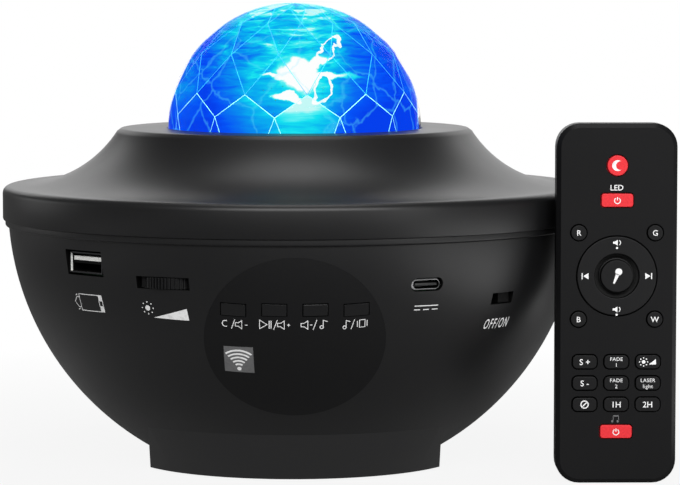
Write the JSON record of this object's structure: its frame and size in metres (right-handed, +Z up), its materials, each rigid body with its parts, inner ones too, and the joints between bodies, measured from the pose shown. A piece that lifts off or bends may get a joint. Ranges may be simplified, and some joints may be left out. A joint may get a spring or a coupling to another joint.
{
  "type": "star night light projector",
  "caption": "Bowl-shaped star and nebula night light with a clear dome, a control panel, a loudspeaker in its foot and a key remote standing beside it.",
  "frame": {"origin": "on the table, under the axis of the projector's dome", "axes": "+Z up, -Y towards the control panel, +X towards the remote control"},
  "size_m": [0.189, 0.168, 0.1318],
  "materials": {
    "case_plastic": "satin moulded black",
    "label_film": "smooth printed film",
    "dome_plastic": "clear, polished",
    "foot_rubber": "matt",
    "screw_steel": "zinc plated",
    "speaker_steel": "painted",
    "speaker_paper": "pressed pulp",
    "circuit_board": "green solder mask",
    "component_black": "moulded",
    "component_blue": "moulded",
    "button_plastic": "satin",
    "socket_steel": "nickel plated",
    "inner_plastic": "white, diffusing",
    "led_board_white": "white solder mask",
    "clear_plastic": "clear, polished",
    "motor_steel": "drawn can",
    "gear_plastic": "natural acetal",
    "laser_brass": "turned",
    "remote_plastic": "satin moulded",
    "key_rubber": "matt",
    "key_red": "satin",
    "key_dark": "satin",
    "cell_jacket": "printed jacket"
  },
  "bodies": {
    "projector": {"bowl_housing": "case_plastic", "control_label": "label_film", "top_cover": "case_plastic", "dome_lens": "dome_plastic", "pedestal": "case_plastic", "anti_slip_ring": "foot_rubber", "housing_screws": "screw_steel", "speaker_frame": "speaker_steel", "speaker_magnet": "speaker_steel", "main_board": "circuit_board", "board_components": "component_black", "button_board": "circuit_board", "tact_switches": "component_black", "ir_receiver": "component_black", "dimmer_pot": "component_blue", "usb_a_socket": "socket_steel", "usb_c_socket": "socket_steel", "port_boards": "circuit_board", "power_switch_body": "component_black", "lamp_deck": "inner_plastic", "led_board": "led_board_white", "condenser_lens": "clear_plastic", "gear_motor": "motor_steel", "laser_module": "laser_brass"},
    "remote": {"remote_front_shell": "remote_plastic", "remote_back_shell": "remote_plastic", "remote_board": "circuit_board", "key_mat": "key_rubber", "battery_cells": "cell_jacket", "battery_contacts": "socket_steel"},
    "speaker_cone": {"speaker_cone": "speaker_paper"},
    "button_1": {"button_1": "button_plastic"},
    "button_2": {"button_2": "button_plastic"},
    "button_3": {"button_3": "button_plastic"},
    "button_4": {"button_4": "button_plastic"},
    "dimmer_wheel": {"dimmer_wheel": "button_plastic"},
    "power_switch_knob": {"power_switch_knob": "button_plastic"},
    "ripple_disc": {"ripple_disc": "clear_plastic"},
    "motor_pinion": {"motor_pinion": "gear_plastic"},
    "grating_wheel": {"grating_wheel": "clear_plastic"},
    "battery_door": {"battery_door": "remote_plastic"},
    "nav_ring": {"nav_ring": "key_dark"},
    "nav_rocker": {"nav_rocker": "key_rubber"},
    "key_night": {"key_night": "key_red"},
    "key_light": {"key_light": "key_red"},
    "key_music": {"key_music": "key_red"},
    "key_red": {"key_red": "key_dark"},
    "key_green": {"key_green": "key_dark"},
    "key_blue": {"key_blue": "key_dark"},
    "key_white": {"key_white": "key_dark"},
    "key_centre": {"key_centre": "key_dark"},
    "key_small_1": {"key_small_1": "key_dark"},
    "key_small_2": {"key_small_2": "key_dark"},
    "key_small_3": {"key_small_3": "key_dark"},
    "key_small_4": {"key_small_4": "key_dark"},
    "key_small_5": {"key_small_5": "key_dark"},
    "key_small_6": {"key_small_6": "key_dark"},
    "key_small_7": {"key_small_7": "key_dark"},
    "key_small_8": {"key_small_8": "key_dark"},
    "key_small_9": {"key_small_9": "key_dark"}
  },
  "joints": [
    {"name": "cone_travel", "type": "slide", "parent": "projector", "child": "speaker_cone", "axis": [0, 0, 1], "range_m": [-0.001, 0.001], "stiffness_N_per_m": 1500},
    {"name": "button_1_press", "type": "slide", "parent": "projector", "child": "button_1", "axis": [0, 0.9572, 0.2894], "range_m": [0, 0.0006], "stiffness_N_per_m": 600},
    {"name": "button_2_press", "type": "slide", "parent": "projector", "child": "button_2", "axis": [0, 0.9572, 0.2894], "range_m": [0, 0.0006], "stiffness_N_per_m": 600},
    {"name": "button_3_press", "type": "slide", "parent": "projector", "child": "button_3", "axis": [0, 0.9572, 0.2894], "range_m": [0, 0.0006], "stiffness_N_per_m": 600},
    {"name": "button_4_press", "type": "slide", "parent": "projector", "child": "button_4", "axis": [0, 0.9572, 0.2894], "range_m": [0, 0.0006], "stiffness_N_per_m": 600},
    {"name": "dimmer_turn", "type": "hinge", "parent": "projector", "child": "dimmer_wheel", "pos_m": [-0.03159, -0.0642, 0.0575], "axis": [0, 0, 1], "range_deg": [-135, 135]},
    {"name": "power_slide", "type": "slide", "parent": "projector", "child": "power_switch_knob", "axis": [-0.6972, -0.7169, 0], "range_m": [0, 0.0035]},
    {"name": "disc_turn", "type": "hinge", "parent": "projector", "child": "ripple_disc", "pos_m": [0, 0, 0.0878], "axis": [0, 0, 1], "continuous": true},
    {"name": "pinion_turn", "type": "hinge", "parent": "projector", "child": "motor_pinion", "pos_m": [0, 0.0281, 0.088], "axis": [0, 0, 1], "continuous": true},
    {"name": "grating_turn", "type": "hinge", "parent": "projector", "child": "grating_wheel", "pos_m": [0.02296, -0.01868, 0.088], "axis": [0, 0, 1], "continuous": true},
    {"name": "remote_lift", "type": "slide", "parent": "projector", "child": "remote", "axis": [0, 0, 1], "range_m": [0, 0.15]},
    {"name": "battery_door_open", "type": "hinge", "parent": "remote", "child": "battery_door", "pos_m": [0.08844, -0.0366, 0.0569], "axis": [1, 0, 0], "range_deg": [0, 60]},
    {"name": "nav_left_right", "type": "hinge", "parent": "remote", "child": "nav_rocker", "pos_m": [0.08844, -0.05035, 0.05745], "axis": [0, 0, 1], "range_deg": [-2.5, 2.5], "stiffness_Nm_per_rad": 0.05},
    {"name": "nav_up_down", "type": "hinge", "parent": "nav_rocker", "child": "nav_ring", "pos_m": [0.08844, -0.0504, 0.05745], "axis": [1, 0, 0], "range_deg": [-2.5, 2.5], "stiffness_Nm_per_rad": 0.05},
    {"name": "key_night_press", "type": "slide", "parent": "remote", "child": "key_night", "axis": [0, 1, 0], "range_m": [0, 0.0005], "stiffness_N_per_m": 400},
    {"name": "key_light_press", "type": "slide", "parent": "remote", "child": "key_light", "axis": [0, 1, 0], "range_m": [0, 0.0005], "stiffness_N_per_m": 400},
    {"name": "key_music_press", "type": "slide", "parent": "remote", "child": "key_music", "axis": [0, 1, 0], "range_m": [0, 0.0005], "stiffness_N_per_m": 400},
    {"name": "key_red_press", "type": "slide", "parent": "remote", "child": "key_red", "axis": [0, 1, 0], "range_m": [0, 0.0005], "stiffness_N_per_m": 400},
    {"name": "key_green_press", "type": "slide", "parent": "remote", "child": "key_green", "axis": [0, 1, 0], "range_m": [0, 0.0005], "stiffness_N_per_m": 400},
    {"name": "key_blue_press", "type": "slide", "parent": "remote", "child": "key_blue", "axis": [0, 1, 0], "range_m": [0, 0.0005], "stiffness_N_per_m": 400},
    {"name": "key_white_press", "type": "slide", "parent": "remote", "child": "key_white", "axis": [0, 1, 0], "range_m": [0, 0.0005], "stiffness_N_per_m": 400},
    {"name": "key_centre_press", "type": "slide", "parent": "remote", "child": "key_centre", "axis": [0, 1, 0], "range_m": [0, 0.0005], "stiffness_N_per_m": 400},
    {"name": "key_small_1_press", "type": "slide", "parent": "remote", "child": "key_small_1", "axis": [0, 1, 0], "range_m": [0, 0.0005], "stiffness_N_per_m": 400},
    {"name": "key_small_2_press", "type": "slide", "parent": "remote", "child": "key_small_2", "axis": [0, 1, 0], "range_m": [0, 0.0005], "stiffness_N_per_m": 400},
    {"name": "key_small_3_press", "type": "slide", "parent": "remote", "child": "key_small_3", "axis": [0, 1, 0], "range_m": [0, 0.0005], "stiffness_N_per_m": 400},
    {"name": "key_small_4_press", "type": "slide", "parent": "remote", "child": "key_small_4", "axis": [0, 1, 0], "range_m": [0, 0.0005], "stiffness_N_per_m": 400},
    {"name": "key_small_5_press", "type": "slide", "parent": "remote", "child": "key_small_5", "axis": [0, 1, 0], "range_m": [0, 0.0005], "stiffness_N_per_m": 400},
    {"name": "key_small_6_press", "type": "slide", "parent": "remote", "child": "key_small_6", "axis": [0, 1, 0], "range_m": [0, 0.0005], "stiffness_N_per_m": 400},
    {"name": "key_small_7_press", "type": "slide", "parent": "remote", "child": "key_small_7", "axis": [0, 1, 0], "range_m": [0, 0.0005], "stiffness_N_per_m": 400},
    {"name": "key_small_8_press", "type": "slide", "parent": "remote", "child": "key_small_8", "axis": [0, 1, 0], "range_m": [0, 0.0005], "stiffness_N_per_m": 400},
    {"name": "key_small_9_press", "type": "slide", "parent": "remote", "child": "key_small_9", "axis": [0, 1, 0], "range_m": [0, 0.0005], "stiffness_N_per_m": 400}
  ],
  "couplings": [
    {"joint": "pinion_turn", "follows": "disc_turn", "ratio": -4.6},
    {"joint": "grating_turn", "follows": "disc_turn", "ratio": -3.5385}
  ]
}
